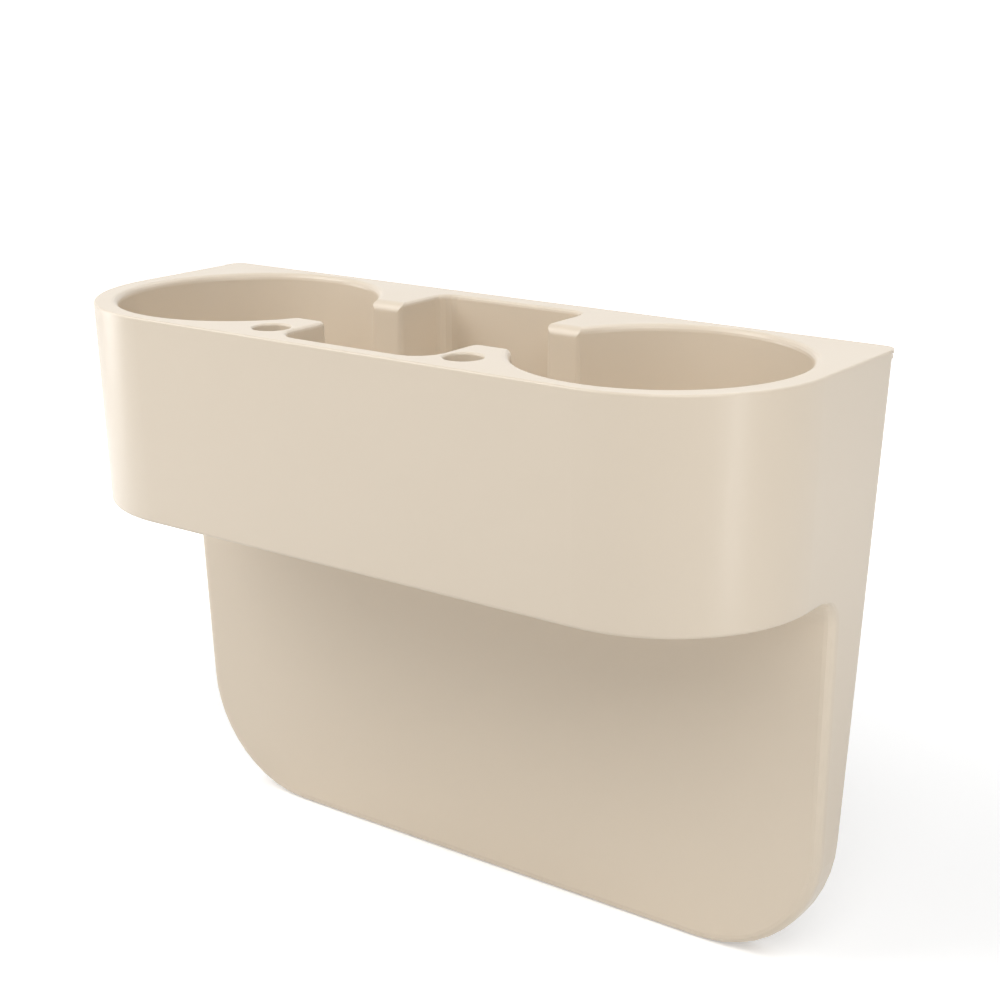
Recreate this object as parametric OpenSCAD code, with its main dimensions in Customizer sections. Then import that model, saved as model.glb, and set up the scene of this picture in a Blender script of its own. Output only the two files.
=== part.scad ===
// Cup holder for the gap beside a car seat: one moulding in beige plastic.
// Two cups, a pocket between them and two pen holes are sunk into a box with round ends,
// and a flat wedge below the box is pushed down into the gap.
// Millimetres. X runs along the width, Y towards the back, Z up.
// The origin lies on the wedge's front face, at the middle of its flat part.
// Inside this file, heights are first measured down from the deck and depths from its back edge.

/* [Box] */
// Width across the two round ends
body_w = 245; // [235:1:270]
// Depth from the back edge of the deck to the front wall
body_d = 89.9; // [88:0.1:96]
// Height of the box, from the deck to its underside
box_h = 63.2; // [50:0.1:90]
// Radius of the round ends, seen from above
end_r = 45.5; // [42:0.1:48]
// Draft of every outer wall, in degrees
draft = 1.5; // [0.5:0.1:2.5]
// Lean of the back plane, forwards as it goes down, in degrees
back_lean = 3.8; // [3:0.1:4.4]
// Radius of the edge between the deck and the walls
deck_edge_r = 0.7; // [0.3:0.1:1.2]
// Radius of the edge under the box
under_edge_r = 1; // [0.4:0.1:2]
// Radius of the upright corners at the back
back_corner_r = 3.6; // [2:0.1:4]

/* [Back lip] */
// How far the deck reaches past the back plane
lip_out = 1.9; // [0.8:0.1:2]
// Thickness of the lip
lip_t = 1; // [0.9:0.1:1.6]
// Gap between the lip and the bead below it
bead_gap = 0.7; // [0.6:0.1:1.5]
// Height of the bead
bead_h = 0.7; // [0.6:0.1:1.5]
// How far the bead stands out of the back plane
bead_out = 1.7; // [0.5:0.1:1.8]
// Corner radius of the lip
lip_corner_r = 4.2; // [2:0.1:6]

/* [Cups and pocket] */
// Diameter of a cup's wall at the deck
cup_d = 80; // [74:0.5:80]
// Distance between the two cups' centres
cup_pitch = 149.4; // [146:0.2:156]
// Distance from the back edge to the cups' centres
cup_back = 44.1; // [43.6:0.1:46]
// Inward taper of the cups' walls, in degrees
cup_taper = 3; // [2.6:0.1:4]
// Roundness of the cups' rims
cup_rim_r = 1.9; // [1:0.1:2]
// Width of the pocket between the cups
pocket_w = 53.4; // [50:0.2:54]
// Distance from the back edge to the pocket's back wall
pocket_back = 7; // [6.6:0.1:8]
// Inward taper of the pocket's walls, in degrees
pocket_taper = 1; // [0.5:0.1:1.4]
// Roundness of the pocket's edges
pocket_rim_r = 1.1; // [0.6:0.1:1.3]
// Corner radius at the pocket's back
pocket_back_r = 5; // [3:0.1:8]
// Corner radius at the pocket's front
pocket_front_r = 8.4; // [6:0.1:10]
// Thickness of the front wall at the pocket
front_wall = 5.6; // [5:0.1:7]
// Thickness of the floor
floor_t = 3; // [2:0.1:4]
// Roundness between the walls and the floor
floor_r = 3; // [1:0.1:4]

/* [Posts and bosses] */
// Distance from the back edge to the flat fronts of the posts
post_front = 28.6; // [26:0.1:31]
// Roundness of a post's upright edges
post_edge_r = 2; // [1.95:0.05:2.4]
// Roundness over the top front edge of a post
post_top_r = 3.2; // [2:0.1:4]
// Distance from the back edge to the flat tips of the bosses
boss_tip = 61.7; // [59:0.1:64]
// Roundness of a boss's upright edge beside the cup
boss_cup_edge_r = 2.1; // [2.05:0.05:2.6]
// Roundness of a boss's upright edge beside the pocket
boss_pocket_edge_r = 2.6; // [1.8:0.1:3]
// Diameter of a pen hole
pen_d = 10.8; // [8:0.1:11.5]
// Distance between the two pen holes
pen_pitch = 68.6; // [67.5:0.1:70]
// Distance from the back edge to the pen holes' centres
pen_back = 77; // [76:0.1:78]
// Roundness of a pen hole's edge
pen_rim_r = 0.8; // [0.4:0.1:1]

/* [Wedge] */
// Height of the whole holder
total_h = 181.4; // [160:0.1:210]
// Distance from the back edge to the wedge's front face, just under the box
wedge_front = 28; // [26:0.1:32]
// Lean of the wedge's front face, backwards as it goes down, in degrees
wedge_lean = 1.6; // [0:0.1:2.2]
// Radius of the wedge's lower corners
wedge_corner_r = 39.8; // [20:0.1:55]
// Roundness of the wedge's front edges
wedge_edge_r = 3; // [1:0.1:4]
// Radius of the hollow curve from the wedge into the underside
web_r = 9; // [5:0.1:12]

/* [Ribbed back] */
// Thickness of the walls around the hollow back
wall = 2.6; // [2:0.1:3]
// Thickness of the deck over the hollow back
deck_t = 3.4; // [3:0.1:5]
// Thickness of a rib
rib_t = 1.8; // [1.2:0.1:2.4]
// Distance between two upright ribs
rib_pitch = 24; // [20:0.5:26]
// How far the ribs stay inside the back plane
rib_inset = 0.8; // [0.4:0.1:2]
// Number of level ribs across the wedge
level_ribs = 2; // [0:1:4]

/* [Hidden] */
beige = [0.87, 0.81, 0.74];

draft_k = tan(draft);
lean_k = tan(back_lean);
wedge_k = tan(wedge_lean);
cup_k = tan(cup_taper);
pocket_k = tan(pocket_taper);

cup_r = cup_d / 2;
cup_x = cup_pitch / 2;
pocket_x = pocket_w / 2;
pocket_front = body_d - front_wall;
cup_depth = box_h - floor_t;

// Radius that a corner of the pocket keeps at least at the floor
least_corner_r = 0.4;
floor_round = min(floor_r, pocket_back_r - pocket_k * cup_depth - least_corner_r);

// Centre of a round end
end_c = [body_w / 2 - end_r, -(body_d - end_r)];

// The wedge's front face under the box, and the origin on it
wedge_flat_top = box_h + web_r;
wedge_flat_low = total_h - wedge_edge_r;
grip_z = (wedge_flat_top + wedge_flat_low) / 2;

// Number of steps along the curves that are lofted
EDGE_STEPS = 4;
CORNER_STEPS = 4;
WEDGE_STEPS = 12;

// Steps too small to see, and how far a cutting shape passes the surface that it cuts
hair = 0.02;
sink = 0.05;
over = 1;

// Depth of the strip along the back that is drawn as one with the wedge
strip = 12;

// How far the lip and the bead reach into the box, and their sides' distance from the edge of the deck
lip_root = 1.5 * lip_corner_r;
lip_side_inset = deck_edge_r / 3;

// Places at a depth z below the deck

// Back plane
function back_y(z) = -lip_out - lean_k * z;
// Front face of the wedge
function wedge_y(z) = -wedge_front + wedge_k * (z - box_h);
// Side wall
function side_x(z) = body_w / 2 - draft_k * z;

function backwards(list) = [for (i = [len(list) - 1:-1:0]) list[i]];
function flipped(half) = [for (p = backwards(half)) [-p.x, p.y]];
function at_depth(ring, z) = [for (p = ring) [p.x, p.y, -z]];
function span(a, b, steps) = [for (i = [0:steps]) a + (b - a) * i / steps];

// Section of the box's wall, from its inner end in to its drafted face with two rounded edges
function wall_section(in) = concat(
    [[in, 0]],
    [for (a = span(0, 90, EDGE_STEPS)) let (z = deck_edge_r * (1 - cos(a)))
        [end_r - draft_k * z - deck_edge_r * (1 - sin(a)), -z]],
    [for (a = span(0, 90, EDGE_STEPS)) let (z = box_h - under_edge_r * (1 - sin(a)))
        [end_r - draft_k * z - under_edge_r * (1 - cos(a)), -z]],
    [[in, -box_h]]);

// Half the width of the wedge: its side down to the lower corner, then the corner's curve
corner_z = total_h - wedge_corner_r;
corner_x = side_x(corner_z) - wedge_corner_r / cos(draft);
function wedge_x(z, inset) =
    let (r = wedge_corner_r - inset, drop = z - corner_z)
    drop < r * sin(draft) ? side_x(z) - inset : corner_x + sqrt(max(0, r * r - drop * drop));

// Where a rounded edge begins at depth z. Near the bottom it has turned under the wedge.
function edge_start(z, r) =
    let (left = total_h - z)
    left >= r ? 0 : asin(1 - left / r);

// Ring of the wedge: front edge, back edge and their mirror images.
// web is how far the curve under the box pulls the front face forwards,
// and inset how far the edge at the deck draws the sides in.
function wedge_ring(z, web, inset) =
    let (
        f = wedge_edge_r,
        b = back_corner_r,
        front = [for (a = span(edge_start(z, f), 90, CORNER_STEPS))
            [wedge_x(z, f * (1 - sin(a))) - inset, wedge_y(z) - web + f * (1 - cos(a))]],
        back = [for (a = span(90, edge_start(z, b), CORNER_STEPS))
            [wedge_x(z, b * (1 - sin(a))) - inset, back_y(z) - b * (1 - cos(a))]],
        half = concat(front, back))
    at_depth(concat(half, flipped(half)), z);

// How far a rounded edge of radius r widens the cavity at depth z, and how far the floor's narrows it
function flare(z, r) = z >= r ? 0 : r - sqrt(r * r - pow(r - max(0, z), 2));
function floor_in(z) =
    let (d = z - (cup_depth - floor_round))
    d <= 0 ? 0 : floor_round - sqrt(max(0, pow(floor_round, 2) - d * d));

// Depths at which the cavity's wall is given
cavity_levels = concat(
    [-over],
    [for (a = span(0, 90, CORNER_STEPS)) cup_rim_r * (1 - cos(a))],
    [for (a = span(0, 90, EDGE_STEPS)) cup_depth - floor_round * (1 - sin(a))]);
function cup_wall_r(z) = cup_r + flare(z, cup_rim_r) - cup_k * z - floor_in(z);

// Stations along the edge of the pocket: place, direction into the wall, edge roundness and taper.
// side is 1 where the pocket lies inside the curve, and -1 where the curve goes round a post or boss.
// sink is how far each end runs past the curve, so that it crosses the cup's wall and doesn't
// just touch it.
function stations(c, r, a, b, side, rim, k, sink = [0, 0]) = [for (i = [0:CORNER_STEPS])
    let (t = i / CORNER_STEPS, q = a + (b - a) * t, d = [cos(q), sin(q)])
    [c + (r + mix(sink, t)) * d, side * d, mix(rim, t), mix(k, t)]];
function mix(ends, t) = ends[0] + (ends[1] - ends[0]) * t;

// Centre of the curve, of radius r, between a cup's wall and a flat tip whose curve lies at height y
function tip_c(y, r) = [cup_c.x - sqrt(pow(cup_r + r, 2) - pow(y - cup_c.y, 2)), y];
function angle_to(p, q) = atan2(q.y - p.y, q.x - p.x);

cup_c = [cup_x, -cup_back];
boss_cup_c = tip_c(-boss_tip - boss_cup_edge_r, boss_cup_edge_r);
boss_pocket_c = [pocket_x + boss_pocket_edge_r, -boss_tip - boss_pocket_edge_r];
post_cup_c = tip_c(-post_front + post_edge_r, post_edge_r);
post_pocket_c = [pocket_x + post_edge_r, -post_front + post_edge_r];

// Right half of the pocket's edge: from the front wall round the boss, across the cup, round the post
// and to the back. Where it meets the cup it has the cup's own roundness and taper.
pocket_half =
    let (p = pocket_rim_r, c = cup_rim_r, pk = pocket_k, ck = cup_k)
    concat(
        stations([pocket_x - pocket_front_r, -pocket_front + pocket_front_r], pocket_front_r,
            -90, 0, 1, [p, p], [pk, pk]),
        stations(boss_pocket_c, boss_pocket_edge_r, 180, 90, -1, [p, p], [pk, pk]),
        stations(boss_cup_c, boss_cup_edge_r,
            90, angle_to(boss_cup_c, cup_c), -1, [p, c], [pk, ck], [0, sink]),
        stations(post_cup_c, post_edge_r,
            angle_to(post_cup_c, cup_c), -90, -1, [c, p], [ck, pk], [sink, 0]),
        stations(post_pocket_c, post_edge_r, -90, -180, -1, [p, p], [pk, pk]),
        stations([pocket_x - pocket_back_r, -pocket_back - pocket_back_r], pocket_back_r,
            0, 90, 1, [p, p], [pk, pk]));
function pocket_ring(z) =
    let (half = [for (s = pocket_half) s[0] + s[1] * (flare(z, s[2]) - s[3] * z - floor_in(z))])
    at_depth(concat(half, flipped(half)), min(z, cup_depth - hair));

// Convex pieces that fill the pocket's ring, as numbers of its points: strips across it in front of
// the bosses' tips and behind the posts', a strip between these, and what lies beside it towards a cup
pocket_pieces =
    let (
        n = CORNER_STEPS + 1,
        ends = 12 * n - 1,
        beside = concat(
            [[2 * n - 1, 2 * n, 4 * n - 1, 4 * n]],
            [for (i = [2 * n:3 * n - 2]) [4 * n - 1, i, i + 1]],
            [for (i = [3 * n:4 * n - 2]) [3 * n - 1, i, i + 1]]))
    concat(
        [for (i = [0:2 * n - 2]) [i, i + 1, ends - i - 1, ends - i]],
        [[2 * n - 1, 4 * n, ends - 4 * n, ends - 2 * n + 1]],
        [for (i = [4 * n:6 * n - 2]) [i, i + 1, ends - i - 1, ends - i]],
        beside,
        [for (piece = beside) [for (i = backwards(piece)) ends - i]]);

// Solid between rings that follow one another downwards. pieces fill a ring at each end.
module loft(rings, pieces) {
    n = len(rings[0]);
    last = len(rings) - 1;
    sides = [for (k = [0:last - 1], i = [0:n - 1])
        let (a = k * n + i, b = k * n + (i + 1) % n)
        each [[a, b, b + n], [a, b + n, a + n]]];
    top = [for (piece = pieces) backwards(piece)];
    bottom = [for (piece = pieces) [for (i = piece) last * n + i]];
    polyhedron([for (ring = rings) each ring], concat(sides, top, bottom), convexity = 12);
}

// Both hands of a shape that is drawn on the right
module pair() {
    children();
    mirror([1, 0, 0]) children();
}

// A section in Y and Z, drawn with Y as its first axis, swept across the width w
module across(w) {
    translate([-w / 2, 0, 0]) rotate([90, 0, 90]) linear_extrude(w) children();
}

// Outer form of the box, up to the strip along its back
module box_form() {
    side_len = body_d - end_r;
    pair() translate(end_c) rotate(-90) rotate_extrude(angle = 90, $fn = 96) polygon(wall_section(0));
    pair() translate([end_c.x, -strip, 0]) rotate([90, 0, 0])
        linear_extrude(side_len - strip) polygon(wall_section(0));
    translate(end_c) rotate([90, 0, -90])
        linear_extrude(2 * end_c.x) polygon(wall_section(strip - side_len));
}

// Strip of the deck's outline along the back, which stands out to y
module back_strip(y) {
    r = lip_corner_r;
    x = side_x(0) - lip_side_inset;
    translate([-x, y - lip_root]) square([2 * x, lip_root - r]);
    translate([-x + r, y - r - hair]) square([2 * (x - r), r + hair]);
    pair() translate([x - r, y - r]) circle(r = r, $fn = 48);
}

// Lip of the deck and the bead under it, which stand out of the back plane
module lip_and_bead() {
    bead_low = lip_t + bead_gap + bead_h;
    translate([0, 0, -lip_t]) linear_extrude(lip_t) back_strip(0);
    translate([0, 0, -bead_low]) linear_extrude(bead_h) back_strip(back_y(bead_low) + bead_out);
}

// Outer form of the wedge and of the strip above it, from the deck down to the two large round corners
module wedge_form() {
    deck_edge = [for (a = span(0, 90, EDGE_STEPS))
        wedge_ring(deck_edge_r * (1 - cos(a)), 0, deck_edge_r * (1 - sin(a)))];
    web = [for (a = span(0, 90, 2 * EDGE_STEPS))
        wedge_ring(box_h + web_r * (1 - cos(a)), web_r * (1 - sin(a)), 0)];
    corner = [for (a = span(0, 90, WEDGE_STEPS))
        wedge_ring(min(corner_z + wedge_corner_r * sin(a), total_h - hair), 0, 0)];
    rings = concat(deck_edge, [wedge_ring(box_h - under_edge_r - over, web_r, 0)], web, corner);
    loft(rings, [[for (i = [0:len(rings[0]) - 1]) i]]);
}

// A cup: tapered wall, rounded rim and rounded floor
module cup() {
    translate(cup_c) rotate_extrude($fn = 128) polygon(concat(
        [[0, over]],
        [for (z = cavity_levels) [cup_wall_r(z), -z]],
        [[0, -cup_depth]]));
}

module pocket() {
    loft([for (z = cavity_levels) pocket_ring(z)], pocket_pieces);
}

// What stays standing around the cups and the pocket in the hollow back
module cavity_walls() {
    pair() translate([cup_c.x, cup_c.y, -box_h])
        cylinder(r1 = cup_r + wall - cup_k * box_h, r2 = cup_r + wall, h = box_h, $fn = 128);
    translate([-pocket_x - wall, -body_d, -box_h])
        cube([pocket_w + 2 * wall, body_d - pocket_back + wall, box_h]);
}

// Upright sheet of thickness t, which ends just inside the back plane
module rib_sheet(t) {
    across(t) polygon([
        [-body_d, 0],
        [back_y(0) - rib_inset, 0],
        [back_y(total_h) - rib_inset, -total_h],
        [-body_d, -total_h]]);
}

// Hollow behind the cups, with upright ribs
module box_hollow() {
    reach = post_front - wall;
    difference() {
        across(2 * (side_x(cup_depth) - wall)) polygon([
            [-reach, -deck_t], [over, -deck_t], [over, -cup_depth], [-reach, -cup_depth]]);
        cavity_walls();
        upright_ribs();
    }
}

// Hollow of the wedge, with upright and level ribs
module wedge_hollow() {
    r = wedge_corner_r - wall;
    low = total_h - wall;
    level_gap = (total_h - box_h) / (level_ribs + 1);
    difference() {
        intersection() {
            rotate([90, 0, 0]) translate([0, 0, -over]) linear_extrude(body_d) difference() {
                polygon([
                    [side_x(box_h) - wall, -box_h], [side_x(low) - wall, -low],
                    [-side_x(low) + wall, -low], [-side_x(box_h) + wall, -box_h]]);
                pair() translate([corner_x, -corner_z]) rotate(-draft) difference() {
                    translate([0, -2 * r]) square(2 * r);
                    circle(r = r, $fn = 128);
                }
            }
            across(body_w) polygon([
                [wedge_y(box_h) + wall, -box_h], [over, -box_h],
                [over, -total_h], [wedge_y(total_h) + wall, -total_h]]);
        }
        upright_ribs();
        intersection() {
            rib_sheet(body_w);
            for (i = [1:1:level_ribs])
                translate([-body_w / 2, -body_d, -box_h - i * level_gap])
                    cube([body_w, body_d + over, rib_t]);
        }
    }
}

// Upright ribs, half of them on each side of the middle
module upright_ribs() {
    half_pitch = rib_pitch / 2;
    for (x = [half_pitch:rib_pitch:body_w / 2 - wall])
        pair() translate([x, 0, 0]) rib_sheet(rib_t);
}

// What is cut away to round a straight edge along X, over a length
module edge_cut(r, length) {
    difference() {
        translate([0, -over, -r]) cube([length, r + over, r + over]);
        translate([-over, r, -r]) rotate([0, 90, 0]) cylinder(r = r, h = length + 2 * over, $fn = 48);
    }
}

// Blind hole for a pen, with a rounded edge at the deck
module pen_hole() {
    r = pen_d / 2;
    translate([0, 0, -cup_depth]) cylinder(r = r, h = cup_depth + over, $fn = 64);
    rotate_extrude($fn = 64) difference() {
        translate([0, -pen_rim_r]) square([r + pen_rim_r, pen_rim_r + over]);
        translate([r + pen_rim_r, -pen_rim_r]) circle(r = pen_rim_r, $fn = 48);
    }
}

module holder_body() {
    post_w = tip_c(-post_front, 0).x - pocket_x + 2 * over;
    color(beige) translate([0, -wedge_y(grip_z), grip_z]) difference() {
        union() {
            box_form();
            lip_and_bead();
            wedge_form();
        }
        pair() cup();
        pocket();
        box_hollow();
        wedge_hollow();
        pair() translate([pocket_x - over, -post_front, 0]) edge_cut(post_top_r, post_w);
        pair() translate([pen_pitch / 2, -pen_back, 0]) pen_hole();
    }
}

holder_body();
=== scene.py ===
# %% [markdown]
# # A cup holder for the gap beside a car seat
#
# The real thing is one injection moulding in beige plastic: two tapered cups, a pocket between
# them, two pen holes and a flat wedge below, which is pushed down beside the seat. Its solid comes
# from the construction model and is already the right shape. This lesson gives that solid its
# plastic, and then builds a small photo studio round it.

# %% Load the frame
import math

import bmesh
import bpy
from mathutils import Matrix, Vector


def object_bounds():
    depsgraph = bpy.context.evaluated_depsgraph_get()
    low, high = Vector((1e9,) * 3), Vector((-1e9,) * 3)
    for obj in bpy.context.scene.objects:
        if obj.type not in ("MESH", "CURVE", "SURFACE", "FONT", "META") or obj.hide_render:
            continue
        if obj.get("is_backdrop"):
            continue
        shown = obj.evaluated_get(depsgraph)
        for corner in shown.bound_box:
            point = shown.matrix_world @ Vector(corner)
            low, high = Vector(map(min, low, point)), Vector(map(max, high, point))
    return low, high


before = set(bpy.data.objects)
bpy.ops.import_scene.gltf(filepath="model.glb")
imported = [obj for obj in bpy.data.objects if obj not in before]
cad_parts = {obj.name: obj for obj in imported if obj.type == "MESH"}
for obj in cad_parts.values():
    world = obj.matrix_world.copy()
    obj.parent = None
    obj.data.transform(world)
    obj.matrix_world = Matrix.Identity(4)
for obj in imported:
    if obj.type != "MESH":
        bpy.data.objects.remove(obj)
cad_low, cad_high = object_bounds()
size_mm = [round((high - low) * 1000, 1) for low, high in zip(cad_low, cad_high)]
print("The holder is", size_mm, "mm wide, deep and high.")

# %% [markdown]
# ## Units, colours and nodes
#
# A drawing is in millimetres and Blender is in metres, so every size below is written as a number
# of millimetres times MM. A colour is picked as a hex value, as on a screen, but a shader works
# with linear light, so one function converts it. A second small function adds a shader node with
# its settings and links, which keeps each material down to a few lines that can be read from top to
# bottom.

# %% Units, colours and nodes
MM = 0.001


def linear(hex_colour):
    """The linear RGBA of an sRGB colour such as "d8c7b6"."""
    parts = [int(hex_colour[i : i + 2], 16) / 255 for i in (0, 2, 4)]
    return [c / 12.92 if c <= 0.04045 else ((c + 0.055) / 1.055) ** 2.4 for c in parts] + [1.0]


def add_node(tree, kind, settings=None, inputs=None):
    """Adds a shader node. A value in inputs is a number, a colour, or another node's output socket."""
    node = tree.nodes.new(kind)
    for name, value in (settings or {}).items():
        setattr(node, name, value)
    for name, value in (inputs or {}).items():
        if isinstance(value, bpy.types.NodeSocket):
            tree.links.new(value, node.inputs[name])
        else:
            node.inputs[name].default_value = value
    return node


def empty_tree(owner):
    """The node tree of a material or world, with nothing in it."""
    owner.use_nodes = True
    owner.node_tree.nodes.clear()
    return owner.node_tree


print("One millimetre is", MM, "Blender units.")

# %% [markdown]
# ## The camera
#
# The photograph looks down on the holder from its right front corner. A camera can be found again
# from the edges in a photograph: here the deck's outline, the cups and the wedge were matched to
# about a pixel. The deck's back edge is the line that is easiest to find on the model, so the
# camera is measured from the middle of that edge.

# %% Place the camera
AZIMUTH = math.radians(36.42)
ELEVATION = math.radians(16.72)
ROLL = math.radians(-0.22)
FOCAL_LENGTH = 65.24
SENSOR_WIDTH = 36.0
NEAREST_SEEN = 10 * MM
EYE_FROM_DECK = Vector((318.57, -446.35, 100.66)) * MM

deck_back = Vector((0.0, cad_high.y, cad_high.z))
backwards = Vector(
    (
        math.sin(AZIMUTH) * math.cos(ELEVATION),
        -math.cos(AZIMUTH) * math.cos(ELEVATION),
        math.sin(ELEVATION),
    )
)
level = Vector((0, 0, 1)).cross(backwards).normalized()
right = Matrix.Rotation(ROLL, 3, backwards) @ level
up = backwards.cross(right)
eye = deck_back + EYE_FROM_DECK

camera = bpy.data.objects.new("camera", bpy.data.cameras.new("camera"))
camera.data.lens = FOCAL_LENGTH
camera.data.sensor_width = SENSOR_WIDTH
camera.data.clip_start = NEAREST_SEEN
camera.matrix_world = Matrix.Translation(eye) @ Matrix((right, up, backwards)).transposed().to_4x4()
bpy.context.collection.objects.link(camera)
bpy.context.scene.camera = camera
print("The camera is", round((eye - deck_back).length * 1000), "mm from the deck's back edge.")

# %% [markdown]
# ## The plastic
#
# Holders like this are injection moulded, often in ABS, a tough and slightly glossy plastic that is
# dyed right through. Its index of refraction is about 1.53. The steel mould is stoned to a fine
# satin rather than polished, so lamps show as broad soft bands on the round ends and not as sharp
# spots. Two things keep it from looking like flat paint. The satin is not equally fine everywhere,
# so the roughness drifts a little over some 30 mm. And the skin has a faint grain with an even
# fainter waviness where the plastic shrank as it cooled, which go into a bump. The real grain is
# about 0.1 mm, too fine to show here, so it is drawn at 0.4 mm.

# %% Satin ABS
ABS_COLOUR = linear("ddcfbb")
ABS_IOR = 1.53
SATIN_ROUGHNESS = 0.32
SATIN_DRIFT = 0.05
DRIFT_SIZE = 30 * MM
GRAIN_SIZE = 0.4 * MM
GRAIN_DEPTH = 0.004 * MM
SHRINK_SIZE = 24 * MM
SHRINK_DEPTH = 0.02 * MM

abs_plastic = bpy.data.materials.new("satin_moulded_abs")
tree = empty_tree(abs_plastic)
place = add_node(tree, "ShaderNodeTexCoord").outputs["Object"]
drift = add_node(
    tree, "ShaderNodeTexNoise", inputs={"Vector": place, "Scale": 1 / DRIFT_SIZE, "Detail": 3.0}
)
roughness = add_node(
    tree,
    "ShaderNodeMapRange",
    inputs={
        "Value": drift.outputs["Fac"],
        "To Min": SATIN_ROUGHNESS - SATIN_DRIFT,
        "To Max": SATIN_ROUGHNESS + SATIN_DRIFT,
    },
)
shrink = add_node(
    tree, "ShaderNodeTexNoise", inputs={"Vector": place, "Scale": 1 / SHRINK_SIZE, "Detail": 1.0}
)
waviness = add_node(
    tree, "ShaderNodeBump", inputs={"Height": shrink.outputs["Fac"], "Distance": SHRINK_DEPTH}
)
grain = add_node(tree, "ShaderNodeTexNoise", inputs={"Vector": place, "Scale": 1 / GRAIN_SIZE, "Detail": 2.0})
skin = add_node(
    tree,
    "ShaderNodeBump",
    inputs={
        "Height": grain.outputs["Fac"],
        "Distance": GRAIN_DEPTH,
        "Normal": waviness.outputs["Normal"],
    },
)
abs_shader = add_node(
    tree,
    "ShaderNodeBsdfPrincipled",
    inputs={
        "Base Color": ABS_COLOUR,
        "Roughness": roughness.outputs["Result"],
        "IOR": ABS_IOR,
        "Normal": skin.outputs["Normal"],
    },
)
add_node(tree, "ShaderNodeOutputMaterial", inputs={"Surface": abs_shader.outputs["BSDF"]})

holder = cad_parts["holder_body"]
holder.data.materials.clear()
holder.data.materials.append(abs_plastic)
print("The moulding has", len(holder.data.polygons), "faces and one plastic.")

# %% [markdown]
# ## The floor
#
# The holder stands on its wedge on a round sheet of white paper, made from one filled circle. In
# the photograph the background is plain white. White paper under soft light would come out a little
# grey, and more light would wash out the plastic. So the paper glows a little, but only where the
# camera sees it, or a glossy or clear material shows it. The glow is weak near the holder, so that
# its shadow stays, and grows with distance until the paper is as white as the background. Paper has
# no shine of its own, so its roughness is high and its gloss off.

# %% White paper
FLOOR_REACH = 2000 * MM
FLOOR_SIDES = 64
PAPER_COLOUR = linear("f2f2f2")
PAPER_ROUGHNESS = 0.9
WHITE = (1, 1, 1, 1)
GLOW_NEAR = 0.35
GLOW_FAR = 1.0
GLOW_START = 180 * MM
GLOW_END = 520 * MM

bm = bmesh.new()
bmesh.ops.create_circle(bm, cap_ends=True, segments=FLOOR_SIDES, radius=FLOOR_REACH)
bmesh.ops.translate(bm, vec=(0, 0, cad_low.z), verts=bm.verts)
floor_mesh = bpy.data.meshes.new("paper_floor")
bm.to_mesh(floor_mesh)
bm.free()
paper_floor = bpy.data.objects.new("paper_floor", floor_mesh)
bpy.context.collection.objects.link(paper_floor)
paper_floor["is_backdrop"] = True


def seen_or_mirrored(tree):
    """1 for a ray from the camera, a reflection or a clear material, and 0 for light that falls on things."""
    path = add_node(tree, "ShaderNodeLightPath")
    seen = path.outputs["Is Camera Ray"]
    for name in ("Is Glossy Ray", "Is Transmission Ray"):
        both = add_node(tree, "ShaderNodeMath", {"operation": "MAXIMUM"}, {0: seen, 1: path.outputs[name]})
        seen = both.outputs["Value"]
    return seen


paper = bpy.data.materials.new("white_paper")
tree = empty_tree(paper)
spot = add_node(tree, "ShaderNodeTexCoord").outputs["Object"]
distance = add_node(tree, "ShaderNodeVectorMath", {"operation": "LENGTH"}, {0: spot})
glow = add_node(
    tree,
    "ShaderNodeMapRange",
    {"interpolation_type": "SMOOTHSTEP"},
    {
        "Value": distance.outputs["Value"],
        "From Min": GLOW_START,
        "From Max": GLOW_END,
        "To Min": GLOW_NEAR,
        "To Max": GLOW_FAR,
    },
)
strength = add_node(
    tree,
    "ShaderNodeMath",
    {"operation": "MULTIPLY"},
    {0: glow.outputs["Result"], 1: seen_or_mirrored(tree)},
)
paper_shader = add_node(
    tree,
    "ShaderNodeBsdfPrincipled",
    inputs={
        "Base Color": PAPER_COLOUR,
        "Roughness": PAPER_ROUGHNESS,
        "Specular IOR Level": 0.0,
        "Emission Color": WHITE,
        "Emission Strength": strength.outputs["Value"],
    },
)
add_node(tree, "ShaderNodeOutputMaterial", inputs={"Surface": paper_shader.outputs["BSDF"]})
paper_floor.data.materials.append(paper)
print("The paper reaches", FLOOR_REACH, "m and lies", round(cad_low.z * 1000, 1), "mm below the origin.")

# %% [markdown]
# ## The lamps
#
# The photograph shows no hard shadow, so the lamps are large soft boxes. Two stand high, at the
# left and right of the camera. They light the walls evenly, and because they are high, the box
# throws its soft shade on the wedge. Two narrow ones stand low at the sides, for their mirror
# images: the upright band on the right round end and the bright rim of the left one. The last
# stands behind and lights the ribbed back. A lamp's power in watts grows with its area, so each is
# given by how bright its face looks, and a function works out the watts.

# %% Soft boxes
AIM = Vector((0, 0, 40)) * MM


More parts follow.
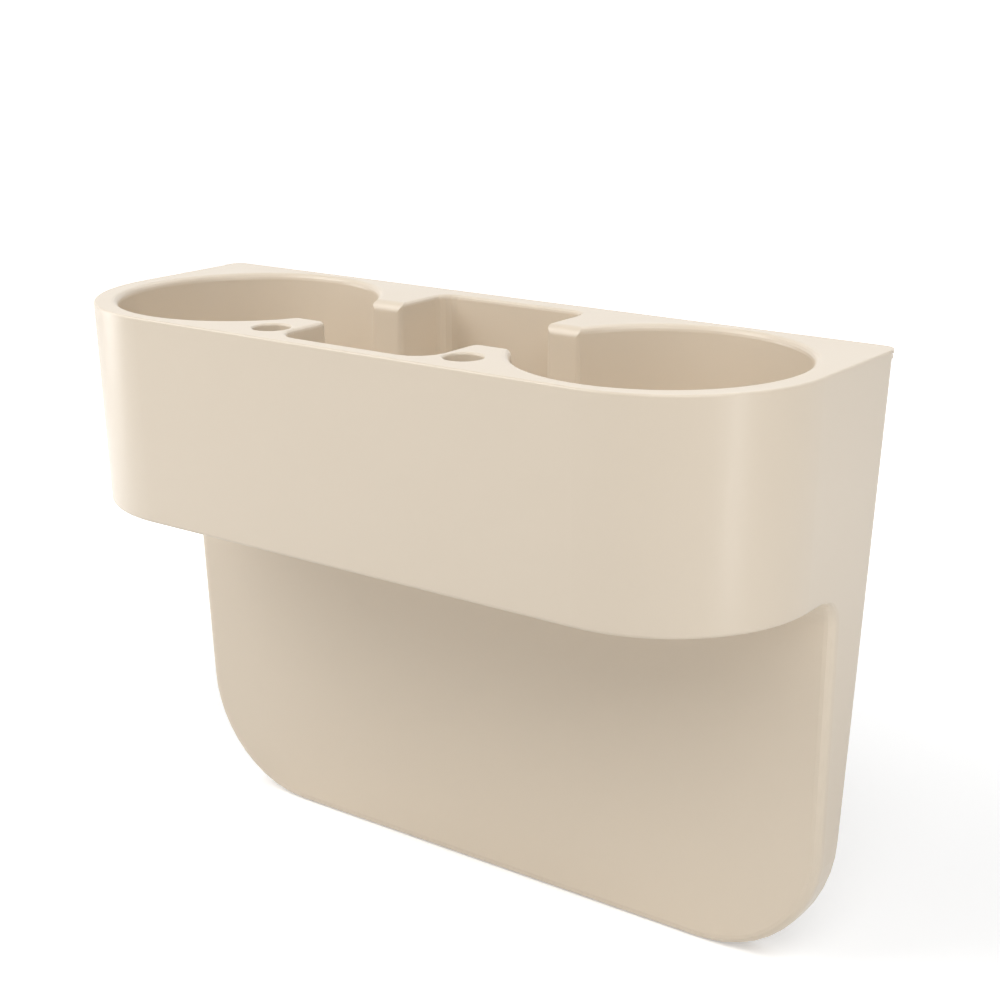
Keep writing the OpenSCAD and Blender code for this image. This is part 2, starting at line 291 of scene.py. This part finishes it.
def soft_box(name, azimuth, elevation, reach, width, height, radiance):
    """A lamp that faces the holder, in degrees and mm. Azimuth 0 is in front and 90 at the right."""
    turn, rise = math.radians(azimuth), math.radians(elevation)
    way = Vector(
        (math.sin(turn) * math.cos(rise), -math.cos(turn) * math.cos(rise), math.sin(rise))
    )
    lamp = bpy.data.objects.new(name, bpy.data.lights.new(name, "AREA"))
    lamp.data.shape = "RECTANGLE"
    lamp.data.size = width * MM
    lamp.data.size_y = height * MM
    lamp.data.energy = radiance * math.pi * lamp.data.size * lamp.data.size_y
    lamp.location = AIM + way * reach * MM
    lamp.rotation_euler = way.to_track_quat("Z", "Y").to_euler()
    lamp.visible_camera = False
    bpy.context.collection.objects.link(lamp)
    print(name, "shines with", round(lamp.data.energy, 2), "W")


soft_box("left_soft_box", azimuth=-46, elevation=41, reach=900, width=600, height=600, radiance=3.9)
soft_box("right_soft_box", azimuth=50, elevation=46, reach=900, width=600, height=600, radiance=3.5)
soft_box("right_strip", azimuth=75, elevation=8, reach=420, width=64, height=380, radiance=3.2)
soft_box("left_strip", azimuth=-76, elevation=8, reach=800, width=250, height=500, radiance=3.5)
soft_box("back_soft_box", azimuth=180, elevation=58, reach=900, width=700, height=600, radiance=1.8)

# %% [markdown]
# ## The room
#
# The room itself adds a little light from everywhere. Where it is seen or mirrored it is a touch
# brighter than white, as the backdrop of a product photograph usually is, and its reflection makes
# the deck paler than the walls. A world can do both: the same helper as for the paper mixes a weak
# light with a bright backdrop.

# %% White room
ROOM_LIGHT = 0.08
BACKDROP_LIGHT = 1.2

room = bpy.data.worlds.new("white_room")
bpy.context.scene.world = room
tree = empty_tree(room)
walls = add_node(tree, "ShaderNodeBackground", inputs={"Color": WHITE, "Strength": ROOM_LIGHT})
backdrop = add_node(tree, "ShaderNodeBackground", inputs={"Color": WHITE, "Strength": BACKDROP_LIGHT})
either = add_node(
    tree,
    "ShaderNodeMixShader",
    inputs={0: seen_or_mirrored(tree), 1: walls.outputs[0], 2: backdrop.outputs[0]},
)
add_node(tree, "ShaderNodeOutputWorld", inputs={"Surface": either.outputs[0]})
print("The room lights with", ROOM_LIGHT, "and looks like", BACKDROP_LIGHT)

# %% [markdown]
# ## Finish
#
# The Standard view transform shows a colour as it was written. The last lines compare the dressed model's
# size with the construction model's.

# %% Check the size and finish
bpy.context.scene.view_settings.view_transform = "Standard"
seen_low, seen_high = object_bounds()
off_by = max((seen_high - cad_high).length, (seen_low - cad_low).length)
print("Sizes agree to", round(off_by * 1000, 3), "mm.")
